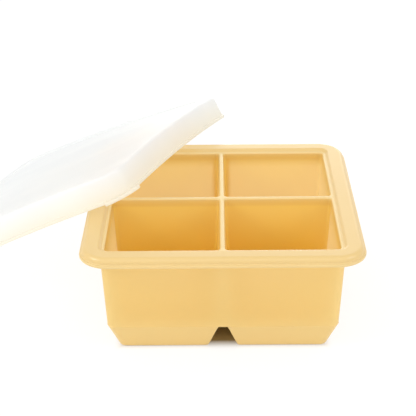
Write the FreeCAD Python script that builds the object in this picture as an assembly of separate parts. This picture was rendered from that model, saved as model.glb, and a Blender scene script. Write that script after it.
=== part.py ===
import FreeCAD, Part
import math
import os
from FreeCAD import Vector

os.makedirs("parts", exist_ok=True)

# Baby food freezer tray: a soft moulded tray of four cups under one stiffened rim, and
# a thin square cover that leans on the tray. Millimetres, +Z up. The tray is drawn
# about its own middle with its feet on z = 0; at the end the row is moved so that
# the origin is the middle of its footprint.

# --- Tray rim ---
RIM_W = 130.0                # width over the thin lower lip
RIM_R = 14.0                 # plan radius of the lip's corners
TRAY_H = 55.65               # feet to the top of the rim
LIP_T = 1.4                  # thickness of the lower lip
BEAD_T = 3.1                 # height of the bead that stands on the lip
LIP_PROUD = 0.9              # how far the lip stands out past the bead
BEAD_ROUND = 1.35            # round on the bead's outer top edge
LIP_ROUND = 0.5              # round on the lip's lower edge
LEDGE_DROP = 1.2             # depth of the step inside the rim
LEDGE_SLOPE = 1.25           # plan width of the sloped side of that step
LEDGE_FLAT = 1.65            # plan width of the flat ledge round the cups
LEDGE_R = 3.6                # plan radius of the step's corners

# --- Tray body ---
WALL = 2.45                  # outer walls, measured square to the surface
FLOOR = 2.4                  # cup floors
DIVIDER_T = 2.4              # divider thickness at its top
DRAFT = 0.0482               # side lean per millimetre of height
CUP_EDGE = 53.45             # tray middle to the outer edge of a cup mouth
CUP_R = 1.8                  # plan radius of a cup mouth's corners
CUP_MOUTH_ROUND = 0.9        # round on the cup mouths
FOOT_H = 13.8                # height of the chamfered lower part
FOOT_SLOPE = 0.38            # chamfer run per millimetre of height
FOOT_R = 3.2                 # plan radius of a foot's corners at the bottom
FOOT_ROUND = 1.3             # round on the feet's bottom edges
CHANNEL_TOP = 2.11           # half width of the cross channel under the dividers
CHANNEL_SLOPE = 0.358        # run of the channel's sides per millimetre of height
CUP_FLOOR_ROUND = 1.6        # round between cup floor and cup side
BODY_R = 4.6                 # plan radius of the body's corners under the rim

# --- Rim wire ---
WIRE_D = 2.4                 # stiffening wire
WIRE_GAP = 0.1               # room round the wire in its tunnel
WIRE_PATH = 60.0             # tray middle to the wire's centre line
WIRE_R = 9.0                 # bend radius of the wire's corners

# --- Cover ---
LID_W = 139.0                # width over the hem
LID_H = 13.15                # hem to the top of the raised border
LID_R = 13.4                 # plan radius of the hem's corners
LID_WALL = 1.15              # skirt and panel thickness
HEM_PROUD = 0.8              # how far the hem stands out from the skirt
HEM_H = 1.5                  # height of the hem
HEM_ROUND = 0.35             # round on the hem's edges
SKIRT_LEAN = 0.3             # inward lean of the skirt over its height
LID_TOP_ROUND = 1.5          # round where the skirt meets the top
BORDER_W = 8.9               # raised border round the panel
PANEL_DROP = 0.55            # depth of the panel below the border
PANEL_SLOPE = 0.6            # plan width of the panel's sloped edge
PANEL_R = 6.0                # plan radius of the panel's corners
TAB_REACH = 3.3              # how far the pull tab stands past the hem
TAB_SPAN = 36.4              # half angle of the tab about the corner's diagonal
TAB_ROUND = 1.0              # round on the tab's outer corners

# --- Droop of the soft cover over the rim corner that it leans on ---
# Height change over the cover, as parts of the place (x, y) from its middle to its edge:
# DROOP_TWIST x y + DROOP_ACROSS x x + DROOP_ALONG y y.
DROOP_TWIST = 2.855
DROOP_ACROSS = -2.294
DROOP_ALONG = -2.116

# --- Resting place of the cover: low edge on the table, panel on a rim corner ---
LID_X = -79.04               # middle of the hem's plane, from the tray's middle
LID_Y = 57.29
LID_SPIN = 94.58             # turn of the cover in its own plane
LID_LEAN = 27.52             # slope of the cover, clear of the rim corner by 0.3
LID_TURN = -24.38            # heading of the cover's uphill direction, from +X

# --- Derived ---
RIM_HALF = RIM_W / 2.0
LIP_Z = TRAY_H - BEAD_T - LIP_T
BEAD_Z = LIP_Z + LIP_T
LEDGE_Z = TRAY_H - LEDGE_DROP
BODY_TOP = CUP_EDGE + WALL - DRAFT * (LEDGE_Z - LIP_Z) + 0.03
BODY_BREAK = BODY_TOP - DRAFT * (LIP_Z - FOOT_H)
FOOT_EDGE = BODY_BREAK - FOOT_SLOPE * FOOT_H
CHANNEL_FOOT = CHANNEL_TOP + CHANNEL_SLOPE * FOOT_H
BODY_BREAK_R = BODY_R - 0.95
SLOPE_WALL = WALL * math.sqrt(1.0 + FOOT_SLOPE ** 2)
LID_HALF = LID_W / 2.0
SKIRT_HALF = LID_HALF - HEM_PROUD
SKIRT_R = LID_R - HEM_PROUD


def outline(x0, x1, y0, y1, r, z, crisp=False):
    """Closed wire: a rectangle with rounded corners, at height z. A crisp one keeps
    sharp corners at (x0, y1) and (x1, y0)."""
    k = r * (1.0 - math.sqrt(0.5))
    s = 0.0 if crisp else r
    ks = 0.0 if crisp else k
    corners = [
        (Vector(x1, y1 - r, z), Vector(x1 - k, y1 - k, z), Vector(x1 - r, y1, z)),
        (Vector(x0 + s, y1, z), Vector(x0 + ks, y1 - ks, z), Vector(x0, y1 - s, z)),
        (Vector(x0, y0 + r, z), Vector(x0 + k, y0 + k, z), Vector(x0 + r, y0, z)),
        (Vector(x1 - s, y0, z), Vector(x1 - ks, y0 + ks, z), Vector(x1, y0 + s, z)),
    ]
    edges = []
    for i, (start, mid, end) in enumerate(corners):
        if (end - start).Length > 1e-6:
            edges.append(Part.Arc(start, mid, end).toShape())
        edges.append(Part.makeLine(end, corners[(i + 1) % 4][0]))
    return Part.Wire(edges)


def square(half, r, z):
    """Closed wire: a centred rounded square, at height z."""
    return outline(-half, half, -half, half, r, z)


def taper(lower, upper):
    """Straight-sided solid between two outlines."""
    return Part.makeLoft([lower, upper], True, True)


def slab(half, r, z0, z1):
    """Upright rounded-square plate from z0 to z1."""
    return Part.Face(square(half, r, z0)).extrude(Vector(0, 0, z1 - z0))


def edges_at(shape, z, keep=None):
    """Edges that lie wholly at height z."""
    found = []
    for edge in shape.Edges:
        box = edge.BoundBox
        if abs(box.ZMin - z) < 1e-4 and abs(box.ZMax - z) < 1e-4:
            if keep is None or keep(edge):
                found.append(edge)
    return found


def quarter_turns(shape):
    """The shape and its three copies, a quarter turn apart about Z."""
    copies = []
    for i in range(4):
        turned = shape.copy()
        turned.rotate(Vector(0, 0, 0), Vector(0, 0, 1), 90.0 * i)
        copies.append(turned)
    return copies


def rim_ring(diameter):
    """Closed round bar along the wire's path inside the rim."""
    z = LIP_Z + (LIP_T + BEAD_T) / 2.0 - 0.05
    path = square(WIRE_PATH, WIRE_R, z)
    start = Vector(WIRE_PATH, WIRE_PATH - WIRE_R, z)
    circle = Part.Circle(start, Vector(0, 1, 0), diameter / 2.0).toShape()
    return Part.Wire(path).makePipeShell([Part.Wire([circle])], True, False)


def rim():
    """Lip and bead, one plate on the other."""
    lip = slab(RIM_HALF, RIM_R, LIP_Z, BEAD_Z)
    lip = lip.makeFillet(LIP_ROUND, edges_at(lip, LIP_Z) + edges_at(lip, BEAD_Z))
    bead = slab(RIM_HALF - LIP_PROUD, RIM_R - LIP_PROUD, BEAD_Z, TRAY_H)
    bead = bead.makeFillet(BEAD_ROUND, edges_at(bead, TRAY_H))
    return lip.fuse(bead)


def body_outside():
    """Leaning sides from the feet's chamfer up to the rim."""
    return taper(square(BODY_BREAK, BODY_BREAK_R, FOOT_H), square(BODY_TOP, BODY_R, LIP_Z))


def foot():
    """Chamfered lower part of the cup in the +X +Y quarter."""
    low = outline(CHANNEL_FOOT, FOOT_EDGE, CHANNEL_FOOT, FOOT_EDGE, FOOT_R, 0.0, True)
    high = outline(CHANNEL_TOP, BODY_BREAK, CHANNEL_TOP, BODY_BREAK, BODY_BREAK_R, FOOT_H, True)
    solid = taper(low, high)
    return solid.makeFillet(FOOT_ROUND, edges_at(solid, 0.0))


def cup_space():
    """Hollow of the cup in the +X +Y quarter, open at the top."""
    near = DIVIDER_T / 2.0
    far = CUP_EDGE
    top = LEDGE_Z
    side = DRAFT * (top - FLOOR)
    over = TRAY_H + 1.0 - top
    low = outline(near + side, far - side, near + side, far - side, CUP_R, FLOOR)
    high = outline(near, far, near, far, CUP_R, top)
    sides = taper(low, high)
    reach = 24.0
    run = FOOT_SLOPE * (reach - FLOOR)
    inner_far = FOOT_EDGE + FOOT_SLOPE * FLOOR - SLOPE_WALL
    inner_near = CHANNEL_FOOT - CHANNEL_SLOPE * FLOOR + SLOPE_WALL
    base_low = outline(inner_near, inner_far, inner_near, inner_far, FOOT_R, FLOOR)
    base_high = outline(inner_near - run, inner_far + run, inner_near - run, inner_far + run,
                        FOOT_R + 1.0, reach)
    base = taper(base_low, base_high)
    prism = Part.Face(square(100.0, 1.0, reach)).extrude(Vector(0, 0, TRAY_H))
    space = sides.common(base.fuse(prism).removeSplitter())
    space = space.Solids[0]
    return space.makeFillet(CUP_FLOOR_ROUND, edges_at(space, FLOOR))


def ledge_space():
    """Shallow step that the rim makes round the four cup mouths."""
    low_half = CUP_EDGE + LEDGE_FLAT
    high_half = low_half + LEDGE_SLOPE
    rise = LEDGE_DROP + 0.6
    grow = LEDGE_SLOPE * 0.6 / LEDGE_DROP
    return taper(square(low_half, LEDGE_R, LEDGE_Z),
                 square(high_half + grow, LEDGE_R + LEDGE_SLOPE + grow, LEDGE_Z + rise))


def silicone_tray():
    """Tray in one piece: four cups, feet, rim, and the tunnel of the rim wire."""
    body = body_outside().multiFuse(quarter_turns(foot()) + [rim()]).removeSplitter()
    body = body.cut(ledge_space())
    for space in quarter_turns(cup_space()):
        body = body.cut(space)
    body = body.Solids[0]
    mouth = edges_at(body, LEDGE_Z, lambda e: max(abs(e.BoundBox.XMin), abs(e.BoundBox.XMax),
                                                  abs(e.BoundBox.YMin), abs(e.BoundBox.YMax))
                     < CUP_EDGE + 0.1)
    body = body.makeFillet(CUP_MOUTH_ROUND, mouth)
    body = body.cut(rim_ring(WIRE_D + 2.0 * WIRE_GAP))
    return body.Solids[0]


def droop(x, y):
    """Height that the drooping cover gains at the place (x, y) in its own frame."""
    u = x / LID_HALF
    v = y / LID_HALF
    return DROOP_TWIST * u * v + DROOP_ACROSS * u * u + DROOP_ALONG * v * v


def layer(z0, z1):
    """Solid between two copies of the cover's drooping sheet, z0 and z1 above its base."""
    size = LID_HALF * 1.3
    ratio = (size / LID_HALF) ** 2
    poles = []
    for i in (-1, 0, 1):
        row = []
        for j in (-1, 0, 1):
            square_i = 1 if i else -1
            square_j = 1 if j else -1
            rise = DROOP_TWIST * i * j + DROOP_ACROSS * square_i + DROOP_ALONG * square_j
            row.append(Vector(i * size, j * size, z0 + ratio * rise))
        poles.append(row)
    sheet = Part.BSplineSurface()
    sheet.buildFromPolesMultsKnots(poles, [3, 3], [3, 3], [0, 1], [0, 1], False, False, 2, 2)
    return sheet.toShape().extrude(Vector(0, 0, z1 - z0))


def edges_on(shape, height):
    """Edges that run along the drooping sheet at this height above its base."""
    found = []
    for edge in shape.Edges:
        points = edge.discretize(Number=5)
        if max(abs(p.z - droop(p.x, p.y) - height) for p in points) < 0.02:
            found.append(edge)
    return found


def lid_shell():
    """Cover in its own frame: middle of the hem's plane at the origin, top face up."""
    lean = SKIRT_LEAN / LID_H
    low = -12.0
    high = LID_H + 12.0
    outside = taper(square(SKIRT_HALF - lean * low, SKIRT_R - lean * low, low),
                    square(SKIRT_HALF - lean * high, SKIRT_R - lean * high, high))
    outside = outside.common(layer(0.0, LID_H))
    outside = outside.makeFillet(LID_TOP_ROUND, edges_on(outside, LID_H))
    hem = slab(LID_HALF, LID_R, low, high).fuse(pull_tab(low, high)).removeSplitter()
    hem = hem.common(layer(0.0, HEM_H))
    hem = hem.makeFillet(HEM_ROUND, edges_on(hem, 0.0) + edges_on(hem, HEM_H))
    shell = outside.fuse(hem)
    panel_half = SKIRT_HALF - SKIRT_LEAN - BORDER_W
    recess = panel_space(panel_half, low, high).common(layer(LID_H - PANEL_DROP, LID_H + 3.0))
    shell = shell.cut(recess)
    shell = shell.cut(lid_space(panel_half, low, high))
    return shell.Solids[0]


def panel_space(half, low, high):
    """Upright block over the panel, wider towards the top as its sloped edge is."""
    lean = PANEL_SLOPE / PANEL_DROP
    rise = 3.0
    grow = lean * rise
    base = LID_H - PANEL_DROP
    wide = taper(square(half - PANEL_SLOPE, PANEL_R, base - 6.0),
                 square(half - PANEL_SLOPE, PANEL_R, base))
    flare = taper(square(half - PANEL_SLOPE, PANEL_R, base),
                  square(half - PANEL_SLOPE + grow, PANEL_R + grow, base + rise))
    return wide.fuse(flare)


def lid_space(panel_half, low, high):
    """Hollow under the cover: deeper under the border than under the panel."""
    lean = SKIRT_LEAN / LID_H
    inner = SKIRT_HALF - LID_WALL
    inner_r = SKIRT_R - LID_WALL
    walls = taper(square(inner - lean * low, inner_r - lean * low, low),
                  square(inner - lean * high, inner_r - lean * high, high))
    roof = LID_H - LID_WALL
    deep = walls.common(layer(-10.0, roof))
    under = slab(panel_half + 0.6, PANEL_R + 1.2, low, high)
    step = under.common(layer(roof - PANEL_DROP, roof + 3.0))
    return deep.cut(step)


def pull_tab(low, high):
    """Upright block with the plan of the tab round the cover's -X -Y corner."""
    middle = -(LID_HALF - LID_R)
    inner = LID_R - HEM_PROUD - LID_WALL / 2.0
    outer = LID_R + TAB_REACH
    first = math.radians(225.0 - TAB_SPAN)
    last = math.radians(225.0 + TAB_SPAN)
    centre = math.radians(225.0)

    def at(radius, angle):
        return Vector(middle + radius * math.cos(angle), middle + radius * math.sin(angle), low)

    loop = Part.Wire([
        Part.makeLine(at(inner, first), at(outer, first)),
        Part.Arc(at(outer, first), at(outer, centre), at(outer, last)).toShape(),
        Part.makeLine(at(outer, last), at(inner, last)),
        Part.Arc(at(inner, last), at(inner, centre), at(inner, first)).toShape(),
    ])
    tab = Part.Face(loop).extrude(Vector(0, 0, high - low))
    corners = []
    for edge in tab.Edges:
        box = edge.BoundBox
        plan = Vector(edge.CenterOfMass.x - middle, edge.CenterOfMass.y - middle, 0)
        if box.ZLength > 1.0 and plan.Length > LID_R:
            corners.append(edge)
    return tab.makeFillet(TAB_ROUND, corners)


def lean_on_tray(shape):
    """Spin the cover flat, tip its +X side up, turn it, and stand it on the table."""
    spin = FreeCAD.Rotation(Vector(0, 0, 1), LID_SPIN)
    tip = FreeCAD.Rotation(Vector(0, 1, 0), -LID_LEAN)
    turn = FreeCAD.Rotation(Vector(0, 0, 1), LID_TURN)
    placed = shape.copy()
    placed.Placement = FreeCAD.Placement(Vector(LID_X, LID_Y, 0), turn * tip * spin)
    placed.translate(Vector(0, 0, -placed.optimalBoundingBox(False).ZMin))
    return placed


tray = silicone_tray()
wire = rim_ring(WIRE_D)
lid = lean_on_tray(lid_shell())

# Origin: middle of the footprint of tray and leaning cover, on the table.
row = Part.makeCompound([tray, lid]).optimalBoundingBox(False)
centre = Vector(-(row.XMin + row.XMax) / 2.0, -(row.YMin + row.YMax) / 2.0, 0.0)
for name, shape in (("silicone_tray", tray), ("rim_wire", wire), ("lid", lid)):
    moved = shape.copy()
    moved.translate(centre)
    moved.exportStep("parts/" + name + ".step")
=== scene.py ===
import math

import bmesh
import bpy
import numpy as np
from mathutils import Matrix, Vector


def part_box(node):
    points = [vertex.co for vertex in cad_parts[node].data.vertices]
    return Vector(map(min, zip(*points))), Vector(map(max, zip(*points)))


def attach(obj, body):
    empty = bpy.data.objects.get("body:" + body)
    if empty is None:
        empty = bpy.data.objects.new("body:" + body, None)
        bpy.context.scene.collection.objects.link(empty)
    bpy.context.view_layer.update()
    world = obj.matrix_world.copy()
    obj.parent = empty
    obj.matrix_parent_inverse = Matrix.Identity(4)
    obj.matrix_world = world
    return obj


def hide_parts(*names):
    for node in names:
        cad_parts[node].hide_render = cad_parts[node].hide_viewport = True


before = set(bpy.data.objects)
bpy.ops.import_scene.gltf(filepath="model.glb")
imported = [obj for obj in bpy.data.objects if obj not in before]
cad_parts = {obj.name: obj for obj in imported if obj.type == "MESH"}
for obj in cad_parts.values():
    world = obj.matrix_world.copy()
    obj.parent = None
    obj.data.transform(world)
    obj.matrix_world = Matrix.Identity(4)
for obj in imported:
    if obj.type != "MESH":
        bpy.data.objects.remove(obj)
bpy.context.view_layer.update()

# === Silicone tray ===
# One moulding of pastel yellow silicone, pressed hot in a steel mould: four deep tapered cups
# in a square, thin dividers, a broad bead on a thin lip, a shallow step round the cups, and
# chamfered feet with a cross channel between them.

# Sizes are in millimetres about the tray's middle, with its feet on z = 0. Widths count from
# the middle, and an R is the radius of a corner seen from above.
TRAY_TOP = 55.65
BEAD = 64.1
BEAD_R = 13.1
BEAD_ROUND = 2.45
RIM = 65.0                       # half width over the lip
RIM_R = 14.0
LIP_UNDER = 51.15
LIP_OVER = 52.55
STEP_OUT = 56.35                 # half width of the step at the rim's top
STEP_IN = 55.10                  # half width of the step at the ledge
LEDGE_END = 54.65                # half width where the ledge's flat ends
LEDGE = 54.45                    # height of the ledge and of the divider tops
WALL_TOP = 55.77                 # half width of the body under the lip
WALL_R = 4.6
WALL_BREAK = 53.97               # half width where the chamfered feet begin
SINK = 0.30                      # how far a divider draws the wall in behind it
SINK_WIDE = 3.4
FOOT_TOP = 13.8
FOOT_SLOPE = 0.38
FOOT_EDGE = WALL_BREAK - FOOT_SLOPE * FOOT_TOP
FOOT_R = 3.2
FOOT_R_GAIN = 0.45               # how much wider that corner is at the foot's top
FOOT_ROUND = 2.1
FOOT_SWEEP = 1.23                # radians of that round, from flat to the leaning side
FOOT_CORNER = 0.75               # round of the feet's upright edges at the channel
FOOT_MIDDLE = 27.9
CHANNEL_TOP = 2.11               # half width of the cross channel at its roof
CHANNEL_SLOPE = 0.358
CHANNEL_FOOT = CHANNEL_TOP + CHANNEL_SLOPE * FOOT_TOP
CUP_NEAR = 1.2                   # cup mouth, divider side
CUP_FAR = 53.45                  # cup mouth, rim side
CUP_DRAFT = 0.0482
CUP_R = 1.8
CUP_MIDDLE = 27.2
MOUTH_ROUND = 0.9
MOUTH_SWEEP = math.radians(87.2)
MOUTH_FLAT = 0.12                # flat kept round the mouth
CUP_FLOOR = 2.4
FLOOR_NEAR = 8.811               # where the leaning sides' lines meet the floor
FLOOR_FAR = 47.072
FLOOR_ROUND = 1.6
FLOOR_SWEEP = 1.25               # radians
DIVIDER_OUT = 51.65              # between these two the divider top's rows are even
DIVIDER_IN = 3.0
LONGEST = 2.6                    # longest step along a profile
ARC_POINTS = 7                   # points on each round of a profile
GUARD = 0.04                     # from the end of a round to its guard point
GAP_CELLS = 4                    # cells across half of the channel
SIDE_CELLS = 26                  # cells along a straight side
ARC_CELLS = 16                   # cells round a corner
FLOOR_CELLS = 6                  # cells from the edge of a flat bottom to its middle
MERGED = 4e-6                    # points nearer than this, in metres, become one

tray_low, tray_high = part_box("silicone_tray")
tray_middle = np.array([(tray_low.x + tray_high.x) / 2, (tray_low.y + tray_high.y) / 2, 0.0])


def ramp(values, start, end):
    """0 at start, 1 at end, even between them and level beyond."""
    return np.clip((values - start) / (end - start), 0, 1)


def rounded(corners):
    """Profile through corners (a, b, c, tangent length). Each inner corner P becomes the
    circular arc between the points at its tangent length on both sides, as the rational
    curve ((1-s)^2 A + 2ws(1-s) P + s^2 B) / ((1-s)^2 + 2ws(1-s) + s^2) with w the cosine
    of half the turn, and a guard point stands just before and after each arc."""
    corners = np.array(corners, float)
    p, t = corners[:, :3], corners[1:-1, 3:]
    to_next = p[1:] - p[:-1]
    unit = to_next / np.linalg.norm(to_next[:, :2], axis=1, keepdims=True)
    before, after = unit[:-1], unit[1:]
    turn = np.arccos(np.clip((before[:, :2] * after[:, :2]).sum(1), -1, 1))
    w = np.cos(turn / 2)[:, None, None]
    s = np.linspace(0, 1, ARC_POINTS)[None, :, None]
    a, b, mid = p[1:-1] - t * before, p[1:-1] + t * after, p[1:-1]
    over = (1 - s) ** 2 * a[:, None] + 2 * w * s * (1 - s) * mid[:, None] + s ** 2 * b[:, None]
    arcs = over / ((1 - s) ** 2 + 2 * w * s * (1 - s) + s ** 2)
    arcs = np.concatenate([(a - GUARD * before)[:, None], arcs, (b + GUARD * after)[:, None]], 1)
    return np.concatenate([p[:1], arcs.reshape(-1, 3), p[-1:]])


def filled(profile):
    """The profile with every longer step split evenly, by linear interpolation along it."""
    length = np.linalg.norm(np.diff(profile[:, :2], axis=0), axis=1)
    along = np.concatenate([[0], np.cumsum(length)])
    parts = [np.linspace(a, b, int(np.ceil((b - a) / LONGEST)) or 1, endpoint=False)
             for a, b in zip(along[:-1], along[1:])]
    places = np.concatenate(parts + [along[-1:]])
    return np.stack([np.interp(places, along, profile[:, k]) for k in range(3)], 1)


def swapped(half):
    """The half run of points followed by its mirror image in x = y, run backwards."""
    return np.concatenate([half, half[:, -2::-1, ::-1]], 1)


def quarter_ring(half, radius, gap):
    """Points from (half, 0) to (0, half) round a rounded square's corner, one row for each
    half width: a gap run, a straight run, the corner's arc, and the same mirrored."""
    h, r, g = half[:, None], radius[:, None], gap[:, None]
    s1 = np.linspace(0, 1, GAP_CELLS, endpoint=False)
    s2 = np.linspace(0, 1, SIDE_CELLS, endpoint=False)
    s3 = np.linspace(0, math.pi / 4, ARC_CELLS // 2 + 1)
    x = np.concatenate([h + 0 * s1, h + 0 * s2, h - r + r * np.cos(s3)], 1)
    y = np.concatenate([g * s1, g + (h - r - g) * s2, h - r + r * np.sin(s3)], 1)
    return swapped(np.stack([x, y], -1))


def cup_ring(near, far, radius):
    """Closed loop round one cup, a rounded square from near to far, one row for each set
    of values. It starts on the diagonal of the corner (far, near)."""
    n, f, r = near[:, None], far[:, None], radius[:, None]
    s1 = np.linspace(-math.pi / 4, 0, GAP_CELLS, endpoint=False)
    s2 = np.linspace(0, 1, SIDE_CELLS, endpoint=False)
    s3 = np.linspace(0, math.pi / 4, ARC_CELLS // 2 + 1)
    x = np.concatenate([f - r + r * np.cos(s1), f + 0 * s2, f - r + r * np.cos(s3)], 1)
    y = np.concatenate([n + r + r * np.sin(s1), n + r + (f - n - 2 * r) * s2,
                        f - r + r * np.sin(s3)], 1)
    outer = swapped(np.stack([x, y], -1))
    a1 = np.linspace(0.75 * math.pi, math.pi, GAP_CELLS + 1)[1:]
    s4 = np.linspace(0, 1, SIDE_CELLS + 1)[1:]
    a2 = np.linspace(math.pi, 1.25 * math.pi, GAP_CELLS + 1)[1:]
    x = np.concatenate([n + r + r * np.cos(a1), n + 0 * s4, n + r + r * np.cos(a2)], 1)
    y = np.concatenate([f - r + r * np.sin(a1), f - r - (f - n - 2 * r) * s4,
                        n + r + r * np.sin(a2)], 1)
    return np.concatenate([outer, swapped(np.stack([x, y], -1))], 1)


def foot_inside(near, far, radius, cut):
    """Points along a foot's two channel sides, one row for each set of values: from the
    outer end over the upright edge's arc of radius cut, along the side, round the corner
    by the tray's middle to the diagonal, and the same mirrored."""
    n, f, r, c = near[:, None], far[:, None], radius[:, None], cut[:, None]
    a1 = np.linspace(math.pi / 2, math.pi, GAP_CELLS, endpoint=False)
    s = np.linspace(0, 1, SIDE_CELLS + 1)
    a2 = np.linspace(math.pi, 1.25 * math.pi, GAP_CELLS + 1)[1:]
    x = np.concatenate([n + c + c * np.cos(a1), n + 0 * s, n + r + r * np.cos(a2)], 1)
    y = np.concatenate([f - c + c * np.sin(a1), f - c - (f - c - n - r) * s,
                        n + r + r * np.sin(a2)], 1)
    return swapped(np.stack([x, y], -1))


def leaning(z, slope, ball):
    """Outward offset at height z of a side that leans out by slope for each millimetre and
    is rounded into a flat bottom at z = 0 by a ball of this radius."""
    root = math.sqrt(1 + slope ** 2)
    curve = slope * ball - ball * root + np.sqrt(np.maximum(ball ** 2 - (ball - z) ** 2, 0))
    return np.where(z < ball * (1 - slope / root), curve, slope * z)


def lifted(plan, z):
    """Plan points (rows, columns, 2) with one height for each row."""
    return np.concatenate([plan, np.broadcast_to(z[:, None, None], plan.shape[:2] + (1,))], 2)


def grid_quads(rows, columns, closed):
    """Corner numbers of the quads of a grid; a closed one joins last column to first."""
    i = np.arange(rows - 1)[:, None]
    j = np.arange(columns if closed else columns - 1)[None, :]
    k = (j + 1) % columns
    return np.stack([i * columns + j, i * columns + k,
                     (i + 1) * columns + k, (i + 1) * columns + j], -1).reshape(-1, 4)


def joined(grids):
    """Points and quads of several grids, given as (points, closed), one after another."""
    starts = np.cumsum([0] + [g.shape[0] * g.shape[1] for g, _ in grids])
    points = np.concatenate([g.reshape(-1, 3) for g, _ in grids])
    quads = [grid_quads(g.shape[0], g.shape[1], c) + n for (g, c), n in zip(grids, starts)]
    return points, np.concatenate(quads)


def piece(name, points, quads, material, place=None, marks=()):
    """Smooth closed mesh object from points in millimetres, with doubles merged and its
    faces turned outwards. place is a 4x4 matrix applied to the points first, and marks are
    (name, one number for each point) pairs that the material reads as attributes."""
    if place is not None:
        points = points @ np.array(place)[:3, :3].T + np.array(place)[:3, 3]
    mesh = bpy.data.meshes.new(name)
    mesh.from_pydata((points / 1000 + tray_middle).tolist(), [], quads.tolist())
    for mark, values in marks:
        mesh.attributes.new(mark, "FLOAT", "POINT").data.foreach_set("value", values)
    work = bmesh.new()
    work.from_mesh(mesh)
    bmesh.ops.remove_doubles(work, verts=work.verts, dist=MERGED)
    bmesh.ops.recalc_face_normals(work, faces=work.faces)
    work.to_mesh(mesh)
    work.free()
    mesh.shade_smooth()
    mesh.materials.append(material)
    made = bpy.data.objects.new(name, mesh)
    bpy.context.scene.collection.objects.link(made)
    return made


def linear(code):
    """sRGB hex colour as linear RGBA, by the sRGB curve ((v + 0.055) / 1.055)^2.4."""
    v = np.array([int(code[i:i + 2], 16) for i in (1, 3, 5)]) / 255
    v = np.where(v <= 0.04045, v / 12.92, ((v + 0.055) / 1.055) ** 2.4)
    return (float(v[0]), float(v[1]), float(v[2]), 1.0)


def add(tree, kind, inputs=(), **settings):
    """New node of this kind in the tree, with its settings and its (socket, value) pairs; a
    value that is another node's output is linked."""
    node = tree.nodes.new(kind)
    for key, value in settings.items():
        setattr(node, key, value)
    for socket, value in dict(inputs).items():
        if isinstance(value, bpy.types.NodeSocket):
            tree.links.new(value, node.inputs[socket])
        else:
            node.inputs[socket].default_value = value
    return node


def blank(name):
    """New material of this name, and its empty node tree."""
    material = bpy.data.materials.new(name)
    material.use_nodes = True
    material.node_tree.nodes.clear()
    return material, material.node_tree


# A colour mix has several sockets of one name, so its share, its two colours and its result
# go by these numbers. A shader mix goes by 0 for its share and 1 and 2 for its shaders.
SHARE, FIRST, SECOND, MIXED = 0, 6, 7, 2
WALL_PASSES = 0.44               # share of the light that the thinnest wall passes on


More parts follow.
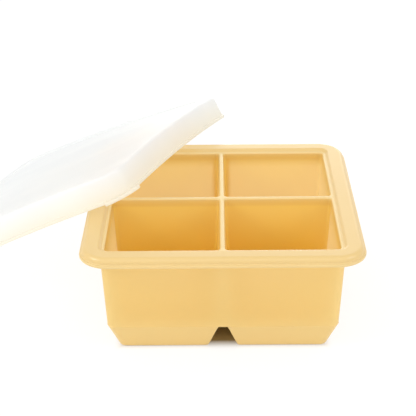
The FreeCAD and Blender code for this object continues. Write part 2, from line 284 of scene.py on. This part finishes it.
def silicone():
    """Satin moulded silicone: a pastel body, paler in the thick rim than in the thin walls,
    which let some light through, painted shade as a deeper tone down inside the cups and
    below the lip, a paler painted highlight on the lip, the crease above it and the round
    edges of the mouths, a faint mottle in colour and sheen at hand size, and the grain of the
    spark-eroded mould, made 0.9 mm wide, coarser than it is, so that it shows. Seen from
    inside, the surface is clear, so that a wall passes light as one sheet."""
    material, tree = blank("silicone_satin_moulded")
    place = add(tree, "ShaderNodeTexCoord").outputs["Object"]
    height = add(tree, "ShaderNodeSeparateXYZ", {"Vector": place}).outputs["Z"]
    mottle = add(tree, "ShaderNodeTexNoise", {"Vector": place, "Scale": 1000 / 38, "Detail": 3.0})
    grain = add(tree, "ShaderNodeTexNoise", {"Vector": place, "Scale": 1000 / 0.9, "Detail": 2.0})
    wave = add(tree, "ShaderNodeTexNoise", {"Vector": place, "Scale": 1000 / 14, "Detail": 1.0})
    # The walls' colours are brighter than they look, as part of their light passes through.
    # Of these tones, the paler edge one is a painted highlight and the deep yellow last one is
    # painted shade.
    tones = {part: add(tree, "ShaderNodeMix", {SHARE: mottle.outputs["Fac"], FIRST: linear(dull),
                                               SECOND: linear(fresh)},
                       data_type="RGBA").outputs[MIXED]
             for part, dull, fresh in (("foot", "#F0CC7A", "#F1CF82"),
                                       ("wall", "#F9DC82", "#FADF8A"),
                                       ("rim", "#E7C57E", "#E8C885"),
                                       ("edge", "#EFD28F", "#F0D596"),
                                       ("inside", "#F0C23A", "#F1C642"))}
    wall = add(tree, "ShaderNodeMapRange", {"Value": height, "From Min": 0.0125,
                                            "From Max": 0.0200})
    rim = add(tree, "ShaderNodeMapRange", {"Value": height, "From Min": 0.0498,
                                           "From Max": 0.0511})
    # Edge paints a paler highlight and depth paints a deeper shade; passes is the walls' real
    # translucency.
    edge = add(tree, "ShaderNodeAttribute", attribute_name="edge")
    depth = add(tree, "ShaderNodeAttribute", attribute_name="depth")
    passes = add(tree, "ShaderNodeAttribute", attribute_name="passes")
    tint = tones["foot"]
    for part, share in (("wall", wall.outputs["Result"]), ("rim", rim.outputs["Result"]),
                        ("edge", edge.outputs["Fac"]), ("inside", depth.outputs["Fac"])):
        tint = add(tree, "ShaderNodeMix", {SHARE: share, FIRST: tint, SECOND: tones[part]},
                   data_type="RGBA").outputs[MIXED]
    sheen = add(tree, "ShaderNodeMapRange", {"Value": mottle.outputs["Fac"], "From Min": 0.3,
                                             "From Max": 0.7, "To Min": 0.29, "To Max": 0.37})
    low = add(tree, "ShaderNodeBump", {"Height": wave.outputs["Fac"], "Strength": 0.10,
                                       "Distance": 0.0004})
    fine = add(tree, "ShaderNodeBump", {"Height": grain.outputs["Fac"], "Strength": 0.10,
                                        "Distance": 0.00003, "Normal": low.outputs["Normal"]})
    body = add(tree, "ShaderNodeBsdfPrincipled", {
        "Base Color": tint, "Roughness": sheen.outputs["Result"],
        "Normal": fine.outputs["Normal"], "IOR": 1.45, "Specular IOR Level": 0.9})
    passed = add(tree, "ShaderNodeBsdfTranslucent", {"Color": linear("#FFE3A8")})
    part_passed = add(tree, "ShaderNodeMath", {0: passes.outputs["Fac"], 1: WALL_PASSES},
                      operation="MULTIPLY")
    sheet = add(tree, "ShaderNodeMixShader", {0: part_passed.outputs[0], 1: body.outputs["BSDF"],
                                              2: passed.outputs["BSDF"]})
    face = add(tree, "ShaderNodeNewGeometry")
    clear = add(tree, "ShaderNodeBsdfTransparent")
    both = add(tree, "ShaderNodeMixShader", {0: face.outputs["Backfacing"], 1: sheet.outputs[0],
                                             2: clear.outputs["BSDF"]})
    add(tree, "ShaderNodeOutputMaterial", {"Surface": both.outputs[0]})
    return material


# Outside of one quarter, from the ledge over the rim and down to the feet's chamfer. Each
# corner is its half width, its height, its R and the tangent length of its round.
outside = filled(rounded([
    (LEDGE_END, LEDGE, 3.25, 0),
    (STEP_IN, LEDGE, 3.60, 0.34),                          # foot of the step
    (STEP_OUT, TRAY_TOP, 4.85, 0.45),                      # top of the step
    (BEAD, TRAY_TOP, BEAD_R, BEAD_ROUND),                  # the bead's outer round
    (BEAD, LIP_OVER, BEAD_R, 0.42),                        # foot of the bead
    (RIM, LIP_OVER, RIM_R, 0.36),                          # upper edge of the lip
    (RIM, LIP_UNDER, RIM_R, 0.45),                         # lower edge of the lip
    (WALL_TOP, LIP_UNDER, WALL_R, 0.5),                    # wall under the lip
    (WALL_BREAK + 0.02, FOOT_TOP + 0.42, 3.67, 0.03),      # wall above the chamfer, and a
    (WALL_BREAK + 0.11, FOOT_TOP + 0.27, 3.70, 0.03),      # faint ridge along its top
    (WALL_BREAK, FOOT_TOP, 3.65, 0)]))
rim_plan = quarter_ring(outside[:, 0], outside[:, 2], np.full(len(outside), CHANNEL_TOP))
rim_skin = lifted(rim_plan, outside[:, 1])
# A divider draws the wall in a little where it cools last: by SINK at its middle, falling
# off as exp(-(distance / SINK_WIDE)^2), and fading towards the lip and the chamfer.
sink = SINK * np.exp(-(rim_skin[..., :2].min(-1) / SINK_WIDE) ** 2)
sink = sink * ramp(rim_skin[..., 2], 47, 35) * ramp(rim_skin[..., 2], 13.9, 21.9)
wide = rim_skin[..., 0] > rim_skin[..., 1]
rim_skin[..., 0] -= np.where(wide, sink, 0)
rim_skin[..., 1] -= np.where(wide, 0, sink)

# Cup of the same quarter: the ledge's edge, the mouth's round, rows down the drafted and then
# leaning sides, the floor's round, and the floor.
mouth_turn = np.linspace(0, MOUTH_SWEEP, 9)
mouth_out = np.concatenate([[MOUTH_ROUND + MOUTH_FLAT], MOUTH_ROUND * (1 - np.sin(mouth_turn))])
mouth_z = LEDGE - np.concatenate([[0], MOUTH_ROUND * (1 - np.cos(mouth_turn))])
side_z = np.concatenate([[53.3], np.linspace(51.5, 21.5, 13), np.linspace(20.0, 4.6, 15),
                         CUP_FLOOR + FLOOR_ROUND * (1 - np.cos(np.linspace(FLOOR_SWEEP, 0, 8)))])
near = np.maximum(CUP_NEAR + CUP_DRAFT * (LEDGE - side_z),
                  FLOOR_NEAR - leaning(side_z - CUP_FLOOR, CHANNEL_SLOPE, FLOOR_ROUND))
far = np.minimum(CUP_FAR - CUP_DRAFT * (LEDGE - side_z),
                 FLOOR_FAR + leaning(side_z - CUP_FLOOR, FOOT_SLOPE, FLOOR_ROUND))
bend = np.interp(side_z, [CUP_FLOOR, CUP_FLOOR + FLOOR_ROUND, 14.0, 18.5],
                 [2.2, 3.2, 3.7, CUP_R])
spread = np.linspace(1, 0, FLOOR_CELLS + 1)[1:]
cup_loops = cup_ring(
    np.concatenate([CUP_NEAR - mouth_out, near, CUP_MIDDLE - (CUP_MIDDLE - near[-1]) * spread]),
    np.concatenate([CUP_FAR + mouth_out, far, CUP_MIDDLE + (far[-1] - CUP_MIDDLE) * spread]),
    np.concatenate([CUP_R + mouth_out, bend, bend[-1] * spread]))
run = np.concatenate([np.linspace(LEDGE_END, DIVIDER_OUT, GAP_CELLS + 1)[1:],
                      np.linspace(DIVIDER_OUT, DIVIDER_IN, SIDE_CELLS + 1)[1:],
                      np.linspace(DIVIDER_IN, 0.0, GAP_CELLS + 1)[1:]])
axis_run = swapped(np.stack([0 * run, run], -1)[None])
edge_loop = np.concatenate([rim_plan[:1], axis_run], 1)
cup_skin = lifted(np.concatenate([edge_loop, cup_loops]),
                  np.concatenate([[LEDGE], mouth_z, side_z, np.full(FLOOR_CELLS, CUP_FLOOR)]))

# Foot under the cup: leaning sides, a rounded bottom edge, and the channel's roof beside it.
foot_z = np.concatenate([np.linspace(FOOT_TOP, 1.6, 9),
                         FOOT_ROUND * (1 - np.cos(np.linspace(FOOT_SWEEP, 0, 9)))])
foot_far = FOOT_EDGE + leaning(foot_z, FOOT_SLOPE, FOOT_ROUND)
foot_near = CHANNEL_FOOT - leaning(foot_z, CHANNEL_SLOPE, FOOT_ROUND)
foot_bend = (FOOT_R + FOOT_R_GAIN * foot_z / FOOT_TOP
             - (FOOT_SLOPE * foot_z - (foot_far - FOOT_EDGE)))
foot_far = np.concatenate([foot_far, FOOT_MIDDLE + (foot_far[-1] - FOOT_MIDDLE) * spread])
foot_near = np.concatenate([foot_near, FOOT_MIDDLE - (FOOT_MIDDLE - foot_near[-1]) * spread])
foot_bend = np.concatenate([foot_bend, foot_bend[-1] * spread])
foot_z = np.concatenate([foot_z, np.zeros(FLOOR_CELLS)])
edge_round = FOOT_CORNER * ramp(foot_z, FOOT_TOP, FOOT_TOP - 2)
edge_round[-FLOOR_CELLS:] *= spread
foot_out = quarter_ring(foot_far, foot_bend, foot_near + edge_round)[:, GAP_CELLS:-GAP_CELLS]
foot_in = foot_inside(foot_near, foot_far, foot_bend, edge_round)
foot_skin = lifted(np.concatenate([foot_out, foot_in[:, 1:-1]], 1), foot_z)
top_edge = foot_in[0, GAP_CELLS:-GAP_CELLS]
axis_y = np.concatenate([top_edge[:SIDE_CELLS + 1, 1],
                         np.linspace(top_edge[SIDE_CELLS, 1], 0, GAP_CELLS + 1)[1:]])
axis_line = swapped(np.stack([0 * axis_y, axis_y], -1)[None])[0]
across = np.linspace(0, 1, GAP_CELLS + 1)[:, None, None]
roof_skin = lifted(axis_line + (top_edge - axis_line) * across, np.full(GAP_CELLS + 1, FOOT_TOP))

# Marks for the finish and its painted light and shade, a number from 0 to 1 at each
# point, with none on feet and channel.
rim_z, cup_z = rim_skin[..., 2].ravel(), cup_skin[..., 2].ravel()
plain = np.zeros(foot_skin[..., 2].size + roof_skin[..., 2].size)
# Depth, painted shade as a deeper tone: 0.5 from 3 mm inside a cup's mouth, 1 from 30 mm,
# and 0.7 as a painted shadow in the corner below the lip.
depth = np.concatenate([
    0.7 * ramp(rim_z, 44, 50) ** 2 * (rim_z < LIP_UNDER - 0.05),
    0.5 * ramp(cup_z, LEDGE, LEDGE - 3) + 0.5 * ramp(cup_z, LEDGE - 3, LEDGE - 30), plain])
# Edge, a paler painted highlight: 1 on the thin lip and the foot of the bead, where it also
# lifts the crease's shade, and 0.7 on the round edges of the mouths.
edge = np.concatenate([ramp(rim_z, 53.4, 52.6) * (rim_z > LIP_UNDER - 0.15),
                       0.7 * ramp(cup_z, 53.6, 54.0), plain])
# Passes: 1 where a thin wall lets light through, fading to none at the rim and the feet, and
# 0.3 on the dividers, whose sides are within 2.9 mm of the tray's axes.
cup_near = cup_skin[..., :2].min(-1).ravel()
passes = np.concatenate([
    ramp(rim_z, 10, 20) * ramp(rim_z, 54.5, 49.5),
    ramp(cup_z, 10, 20) * ramp(cup_z, 52.5, 47.5) * np.maximum(ramp(cup_near, 2.9, 4.5), 0.3),
    plain])

quarter, quads = joined([(rim_skin, False), (cup_skin, True), (foot_skin, True),
                         (roof_skin, False)])
turns = [np.array([[c, -s, 0], [s, c, 0], [0, 0, 1]])
         for c, s in ((1, 0), (0, 1), (-1, 0), (0, -1))]
tray_points = np.concatenate([quarter @ t.T for t in turns])
tray_quads = np.concatenate([quads + k * len(quarter) for k in range(4)])
tray = piece("silicone_tray_skin", tray_points, tray_quads, silicone(),
             marks=[(name, np.tile(values, 4)) for name, values in
                    (("depth", depth), ("edge", edge), ("passes", passes))])
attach(tray, "tray")
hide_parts("silicone_tray")


# === Rim wire ===
# Round stainless wire, bent into a closed square ring and laid in the mould, so that the
# silicone flows round it. It stiffens the rim and stays hidden inside it.
def drawn_wire():
    """Drawn stainless wire: bright metal with fine streaks in colour and gloss, made 0.7 mm
    wide, coarser than they are, so that they show."""
    material, tree = blank("stainless_wire_drawn")
    place = add(tree, "ShaderNodeTexCoord").outputs["Object"]
    streak = add(tree, "ShaderNodeTexNoise", {"Vector": place, "Scale": 1000 / 0.7,
                                              "Detail": 3.0})
    gloss = add(tree, "ShaderNodeMapRange", {"Value": streak.outputs["Fac"], "From Min": 0.3,
                                             "From Max": 0.7, "To Min": 0.24, "To Max": 0.38})
    tint = add(tree, "ShaderNodeMix", {SHARE: streak.outputs["Fac"], FIRST: linear("#C7C8C8"),
                                       SECOND: linear("#DADBDA")}, data_type="RGBA")
    body = add(tree, "ShaderNodeBsdfPrincipled", {
        "Base Color": tint.outputs[MIXED], "Metallic": 1.0, "Roughness": gloss.outputs["Result"]})
    add(tree, "ShaderNodeOutputMaterial", {"Surface": body.outputs["BSDF"]})
    return material


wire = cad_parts["rim_wire"]
wire.data.materials.clear()
wire.data.materials.append(drawn_wire())


# === Cover ===
# Thin square cover, injection moulded in translucent white plastic: a flat panel inside a
# raised border, a shallow skirt, a narrow hem, and a pull tab at one corner. It is loose and
# leans on the tray's rim, where its own weight lets it droop by 2 to 3 mm.

# Sizes are in millimetres in the cover's own frame, with the middle of its hem at the origin.
COVER = 69.5                     # half width over the hem
COVER_R = 13.4
COVER_H = 13.15
COVER_WALL = 1.15
HEM_OUT = 0.8
HEM_H = 1.5
HEM_ROUND = 0.35
HEM_FLAT = 0.25                  # flat beside the skirt, above and below the hem
SKIRT = COVER - HEM_OUT
SKIRT_IN = 0.3                   # how far the skirt leans in at its top
PANEL = 59.5                     # half width of the panel's edge
PANEL_DROP = 0.55
PANEL_STEP = 0.6                 # width of the slope from the panel up to its border
PANEL_ROWS = 25
TAB_REACH = 3.3
TAB_SPAN = math.radians(36.4)    # from the corner's diagonal to the tab's end
TAB_ROUND = 1.0
TAB_TURN = math.radians(3.6)     # turn that the tab's round takes
TAB_EASE = 1.6                   # power that holds that round back at its start
TAB_CORNER = math.radians(225)   # direction of its corner
DROOP_XY, DROOP_XX, DROOP_YY = 2.855, 2.294, 2.116
COVER_SIDE = 32                  # cells along half a side
COVER_ARC = 28                   # cells round a corner
COVER_SCATTERS = 0.24            # share of the light that the sheet scatters through
COVER_PASSES = 0.82              # share of shadow and bounced light that it passes on
# From the cover's frame to the tray's: turned in its plane, tilted, turned and moved.
cover_place = (Matrix.Translation(Vector((-79.04, 57.29, 35.27)))
               @ Matrix.Rotation(math.radians(-24.38), 4, "Z")
               @ Matrix.Rotation(math.radians(-27.52), 4, "Y")
               @ Matrix.Rotation(math.radians(94.58), 4, "Z"))


def cover_rings(half, radius):
    """Closed rounded-square loops, one row for each half width, as four turned quarters of
    two half sides and the corner between them."""
    h, r = half[:, None], radius[:, None]
    s2 = np.linspace(0, 1, COVER_SIDE, endpoint=False)
    s3 = np.linspace(0, math.pi / 4, COVER_ARC // 2 + 1)
    x = np.concatenate([h + 0 * s2, h - r + r * np.cos(s3)], 1)
    y = np.concatenate([(h - r) * s2, h - r + r * np.sin(s3)], 1)
    part = swapped(np.stack([x, y], -1))[:, :-1]
    return np.concatenate([part @ t[:2, :2].T for t in turns], 1)


def hem_outline():
    """The hem's loop with the tab: round the corner at -x -y the loop leaves the corner's arc
    by a radial step, rounds over, and follows a wider arc about the same centre."""
    loop = cover_rings(np.array([COVER]), np.array([COVER_R]))[0]
    first = TAB_CORNER - TAB_SPAN
    wide = COVER_R + TAB_REACH
    step_end = wide - TAB_ROUND
    angle = np.concatenate([np.linspace(math.pi, first, 3), np.full(2, first),
                            first + TAB_TURN * np.linspace(0, 1, 5)[1:] ** TAB_EASE,
                            np.linspace(first + TAB_TURN, TAB_CORNER, 7)[1:]])
    reach = np.concatenate([np.full(3, COVER_R), np.linspace(COVER_R, step_end, 3)[1:],
                            step_end + TAB_ROUND * np.sin(np.linspace(0, math.pi / 2, 5))[1:],
                            np.full(6, wide)])
    middle = -(COVER - COVER_R)
    half = np.stack([middle + reach * np.cos(angle), middle + reach * np.sin(angle)], -1)
    quarter_count = 2 * COVER_SIDE + COVER_ARC
    start = 2 * quarter_count + COVER_SIDE
    loop[start:start + COVER_ARC + 1] = swapped(half[None])[0]
    return loop


def inset(loop, distance):
    """The closed loop moved inwards along the mean normal of its two edges at each point."""
    edge = np.roll(loop, -1, 0) - loop
    normal = np.stack([edge[:, 1], -edge[:, 0]], 1)
    normal = normal / np.linalg.norm(normal, axis=1, keepdims=True)
    mean = normal + np.roll(normal, 1, 0)
    mean = mean / np.linalg.norm(mean, axis=1, keepdims=True)
    return loop - distance * mean


def cover_plastic():
    """Translucent moulded polypropylene: light passes through it scattered, with a soft satin
    gloss, flow marks about 75 mm long and 26 mm apart, a mould grain made 0.8 mm wide,
    coarser than it is, so that it shows, and a creamier tone low on the skirt, which is
    painted light: the yellow glow that the tray below throws onto it."""
    material, tree = blank("polypropylene_translucent_moulded")
    place = add(tree, "ShaderNodeTexCoord").outputs["Object"]
    own = cover_place.inverted().to_euler()
    across = add(tree, "ShaderNodeMapping", {"Vector": place, "Rotation": tuple(own),
                                             "Scale": (1000 / 75, 1000 / 26, 1000 / 75)})
    flow = add(tree, "ShaderNodeTexNoise", {"Vector": across.outputs["Vector"], "Scale": 1.0,
                                            "Detail": 2.0, "Distortion": 0.6})
    grain = add(tree, "ShaderNodeTexNoise", {"Vector": place, "Scale": 1000 / 0.8, "Detail": 2.0})
    cloud = add(tree, "ShaderNodeMapRange", {"Value": flow.outputs["Fac"], "From Min": 0.36,
                                             "From Max": 0.64})
    sheet = add(tree, "ShaderNodeMix", {SHARE: cloud.outputs["Result"], FIRST: linear("#F8FAFA"),
                                        SECOND: linear("#FEFFFE")}, data_type="RGBA")
    # Painted light: a creamier tone low on the skirt stands for the tray's yellow glow on it.
    skirt = add(tree, "ShaderNodeAttribute", attribute_name="skirt")
    tint = add(tree, "ShaderNodeMix", {SHARE: skirt.outputs["Fac"], FIRST: sheet.outputs[MIXED],
                                       SECOND: linear("#FBF4DF")}, data_type="RGBA")
    gloss = add(tree, "ShaderNodeMapRange", {"Value": flow.outputs["Fac"], "From Min": 0.3,
                                             "From Max": 0.7, "To Min": 0.34, "To Max": 0.42})
    low = add(tree, "ShaderNodeBump", {"Height": flow.outputs["Fac"], "Strength": 0.15,
                                       "Distance": 0.0090})
    fine = add(tree, "ShaderNodeBump", {"Height": grain.outputs["Fac"], "Strength": 0.08,
                                        "Distance": 0.00003, "Normal": low.outputs["Normal"]})
    face = add(tree, "ShaderNodeBsdfPrincipled", {
        "Base Color": tint.outputs[MIXED], "Roughness": gloss.outputs["Result"],
        "Normal": fine.outputs["Normal"], "IOR": 1.45})
    depth = add(tree, "ShaderNodeBsdfTranslucent", {"Color": linear("#F4FAFF")})
    body = add(tree, "ShaderNodeMixShader", {0: COVER_SCATTERS, 1: face.outputs["BSDF"],
                                             2: depth.outputs["BSDF"]})
    way = add(tree, "ShaderNodeLightPath")
    dark = add(tree, "ShaderNodeMath", {0: way.outputs["Is Shadow Ray"],
                                        1: way.outputs["Is Diffuse Ray"]}, operation="MAXIMUM")
    pass_on = add(tree, "ShaderNodeMath", {0: dark.outputs[0], 1: COVER_PASSES},
                  operation="MULTIPLY")
    through = add(tree, "ShaderNodeBsdfTransparent", {"Color": (1.0, 0.99, 0.97, 1)})
    both = add(tree, "ShaderNodeMixShader", {0: pass_on.outputs[0], 1: body.outputs[0],
                                             2: through.outputs["BSDF"]})
    add(tree, "ShaderNodeOutputMaterial", {"Surface": both.outputs[0]})
    return material


# Upper side from the panel to the hem, and underside from the hem to the panel. Each corner
# is its half width, its height, its R and the tangent length of its round.
top = filled(rounded([
    (PANEL - PANEL_STEP - 1.0, COVER_H - PANEL_DROP, 5.0, 0),
    (PANEL - PANEL_STEP, COVER_H - PANEL_DROP, 6.0, 0.25),              # foot of the border
    (PANEL, COVER_H, 6.6, 0.3),                                         # inner edge of it
    (SKIRT - SKIRT_IN, COVER_H, 12.3, 1.5),                             # shoulder
    (SKIRT, HEM_H, 12.6, 0.2),                                          # foot of the skirt
    (SKIRT + HEM_FLAT, HEM_H, 12.85, 0)]))
inner, ceiling = SKIRT - COVER_WALL, COVER_H - COVER_WALL
under = filled(rounded([
    (inner + HEM_FLAT, 0.0, 11.7, 0),
    (inner, 0.0, 11.45, 0.2),                                           # foot of the skirt
    (inner - SKIRT_IN, ceiling, 11.15, 0.5),                            # shoulder
    (PANEL + PANEL_STEP, ceiling, 7.2, 0.2),                            # step down, under the
    (PANEL + PANEL_STEP, ceiling - PANEL_DROP, 7.2, 0.2),               # border's inner edge
    (PANEL - 1.0, ceiling - PANEL_DROP, 5.6, 0)]))
hem = hem_outline()
hem_turn = np.linspace(0, math.pi / 2, 6)
hem_over = HEM_ROUND * (1 - np.sin(hem_turn))
hem_down = HEM_ROUND * (1 - np.cos(hem_turn))
hem_plan = np.stack([inset(hem, by) for by in np.concatenate([hem_over, hem_down])])
hem_z = np.concatenate([HEM_H - hem_down, hem_over])
panel_scale = np.linspace(0, 1, PANEL_ROWS + 1)[:-1]
cover_plan = np.concatenate([
    cover_rings(top[0, 0] * panel_scale, top[0, 2] * panel_scale),
    cover_rings(top[:, 0], top[:, 2]), hem_plan, cover_rings(under[:, 0], under[:, 2]),
    cover_rings(under[-1, 0] * panel_scale[::-1], under[-1, 2] * panel_scale[::-1])])
cover_z = np.concatenate([np.full(PANEL_ROWS, top[0, 1]), top[:, 1], hem_z, under[:, 1],
                          np.full(PANEL_ROWS, under[-1, 1])])
cover_points = lifted(cover_plan, cover_z)
# Droop of the soft sheet: DROOP_XY xy - DROOP_XX xx - DROOP_YY yy, with x and y counted in
# half widths of the cover.
u, v = cover_points[..., 0] / COVER, cover_points[..., 1] / COVER
cover_points[..., 2] += DROOP_XY * u * v - DROOP_XX * u * u - DROOP_YY * v * v
# Mark for painted light, the tray's yellow glow painted low on the skirt: from 0 at 1 mm
# below the cover's top to 1 at the skirt's foot.
skirt = np.repeat(ramp(cover_z, COVER_H - 1, 0), cover_plan.shape[1])
cover_points, cover_quads = joined([(cover_points, True)])
cover = piece("cover_skin", cover_points, cover_quads, cover_plastic(), cover_place,
              marks=[("skirt", skirt)])
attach(cover, "lid")
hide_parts("lid")


# === Table ===
# Plain white studio table under the tray. It is not part of the object. Seen straight on it
# is nearly all its own white, and the rest is the light that reaches it, so that the
# object's soft shadow stays.
TABLE_REACH = 4.0                # half width, in metres
TABLE_GLOW = 0.80                # strength of its own white
TABLE_SHADE = 0.24               # share of the light that reaches it


def shows_white(tree):
    """1 on rays that show the surroundings to the eye, straight, in a gloss or through a
    clear wall, and 0 on all others: the largest of the light path's marks for them."""
    path = add(tree, "ShaderNodeLightPath")
    clean = add(tree, "ShaderNodeMath", {0: path.outputs["Is Glossy Ray"],
                                         1: path.outputs["Is Transmission Ray"]},
                operation="MAXIMUM")
    return add(tree, "ShaderNodeMath", {0: path.outputs["Is Camera Ray"], 1: clean.outputs[0]},
               operation="MAXIMUM").outputs[0]


def studio_white():
    """White table: plain matt white to the light. For the eye it is mostly even white. In the
    square under the tray, where max(|x|, |y|) is below the feet's edge, it is matt, dim and
    warm for every ray: a painted shadow, tinted with painted yellow light bounced from the
    silicone."""
    material, tree = blank("studio_table_white")
    faint = add(tree, "ShaderNodeBsdfDiffuse", {"Color": (TABLE_SHADE,) * 3 + (1,)})
    glow = add(tree, "ShaderNodeEmission", {"Color": (1, 1, 1, 1), "Strength": TABLE_GLOW})
    seen = add(tree, "ShaderNodeAddShader", {0: faint.outputs[0], 1: glow.outputs[0]})
    place = add(tree, "ShaderNodeTexCoord").outputs["Object"]
    from_tray = add(tree, "ShaderNodeMapping", {
        "Vector": place, "Location": tuple(-float(v) for v in tray_middle)})
    parts = add(tree, "ShaderNodeSeparateXYZ", {"Vector": from_tray.outputs["Vector"]})
    x = add(tree, "ShaderNodeMath", {0: parts.outputs["X"]}, operation="ABSOLUTE")
    y = add(tree, "ShaderNodeMath", {0: parts.outputs["Y"]}, operation="ABSOLUTE")
    reach = add(tree, "ShaderNodeMath", {0: x.outputs[0], 1: y.outputs[0]}, operation="MAXIMUM")
    clear = add(tree, "ShaderNodeMapRange", {"Value": reach.outputs[0], "From Min": 0.0438,
                                             "From Max": 0.0516})
    # Painted shadow: a dim warm colour in the square under the tray, plain white outside it.
    painted_shadow_mix = add(tree, "ShaderNodeMix", {SHARE: clear.outputs["Result"],
                                       FIRST: (0.56, 0.45, 0.22, 1),
                                       SECOND: (0.92, 0.92, 0.92, 1)}, data_type="RGBA")
    matt = add(tree, "ShaderNodeBsdfDiffuse", {"Color": painted_shadow_mix.outputs[MIXED]})
    share = add(tree, "ShaderNodeMath", {0: shows_white(tree), 1: clear.outputs["Result"]},
                operation="MULTIPLY")
    both = add(tree, "ShaderNodeMixShader", {0: share.outputs[0], 1: matt.outputs[0],
                                             2: seen.outputs[0]})
    add(tree, "ShaderNodeOutputMaterial", {"Surface": both.outputs[0]})
    return material


table_mesh = bpy.data.meshes.new("studio_table")
table_mesh.from_pydata([(x * TABLE_REACH, y * TABLE_REACH, 0)
                        for x, y in ((-1, -1), (1, -1), (1, 1), (-1, 1))], [], [(0, 1, 2, 3)])
table_mesh.materials.append(studio_white())
table = bpy.data.objects.new("studio_table", table_mesh)
bpy.context.scene.collection.objects.link(table)

# === Light ===
# Even white surroundings, a wide soft lamp high in front, a smaller one at each side, a
# little forward of the tray, and a wide one low behind it.
WORLD_LEVEL = 0.80               # strength of the surroundings as light on the object
world = bpy.data.worlds.new("studio_surround")
bpy.context.scene.world = world
world.use_nodes = True
world.node_tree.nodes.clear()
level = add(world.node_tree, "ShaderNodeMapRange", {
    "Value": shows_white(world.node_tree), "To Min": WORLD_LEVEL, "To Max": 1.0})
sky = add(world.node_tree, "ShaderNodeBackground", {"Color": (1, 1, 1, 1),
                                                    "Strength": level.outputs["Result"]})
add(world.node_tree, "ShaderNodeOutputWorld", {"Surface": sky.outputs[0]})


def soft_lamp(name, place, size, power):
    """Square area lamp at this place (metres from the tray's middle), aimed 30 mm above it.
    Its size is in metres and its power in watts."""
    data = bpy.data.lights.new(name, "AREA")
    data.size = size
    data.energy = power
    lamp = bpy.data.objects.new(name, data)
    spot = Vector(place) + Vector(tray_middle)
    aim = (Vector(tray_middle) + Vector((0, 0, 0.03)) - spot).to_track_quat("-Z", "Y")
    lamp.matrix_world = Matrix.Translation(spot) @ aim.to_matrix().to_4x4()
    bpy.context.scene.collection.objects.link(lamp)


soft_lamp("lamp_front", place=(0.0, -0.9, 1.0), size=0.9, power=1.7)
soft_lamp("lamp_left", place=(-0.85, -0.38, 0.66), size=0.36, power=2.8)
soft_lamp("lamp_right", place=(0.85, -0.42, 0.62), size=0.36, power=1.7)
soft_lamp("lamp_behind", place=(0.1, 1.2, 0.1), size=0.8, power=4.7)

# === Camera ===
# It stands in front of the tray, 606 mm from its middle, and looks down at 26.6 degrees,
# turned half a degree to the left and rolled by a little more.
CAMERA_PLACE = Vector((-0.00249, -0.52141, 0.30978))
CAMERA_DOWN = math.radians(26.597)
CAMERA_YAW = math.radians(-0.476)
CAMERA_ROLL = math.radians(-0.640)
FRAME_PIXELS = 416
FOCAL_PIXELS = 1184.283
SENSOR = 36                      # millimetres
ahead = Vector((math.sin(CAMERA_YAW) * math.cos(CAMERA_DOWN),
                math.cos(CAMERA_YAW) * math.cos(CAMERA_DOWN), -math.sin(CAMERA_DOWN)))
right = Vector((math.cos(CAMERA_YAW), -math.sin(CAMERA_YAW), 0))
above = right.cross(ahead)
side = math.cos(CAMERA_ROLL) * right + math.sin(CAMERA_ROLL) * above
rise = -math.sin(CAMERA_ROLL) * right + math.cos(CAMERA_ROLL) * above
camera_data = bpy.data.cameras.new("camera")
camera_data.sensor_width = SENSOR
camera_data.lens = FOCAL_PIXELS / FRAME_PIXELS * SENSOR
camera_data.clip_start = 0.01
camera_data.clip_end = 50
camera = bpy.data.objects.new("camera", camera_data)
turn = Matrix((side, rise, -ahead)).transposed().to_4x4()
camera.matrix_world = Matrix.Translation(CAMERA_PLACE + Vector(tray_middle)) @ turn
bpy.context.scene.collection.objects.link(camera)
bpy.context.scene.camera = camera
bpy.context.scene.view_settings.view_transform = "Standard"

bpy.context.view_layer.update()
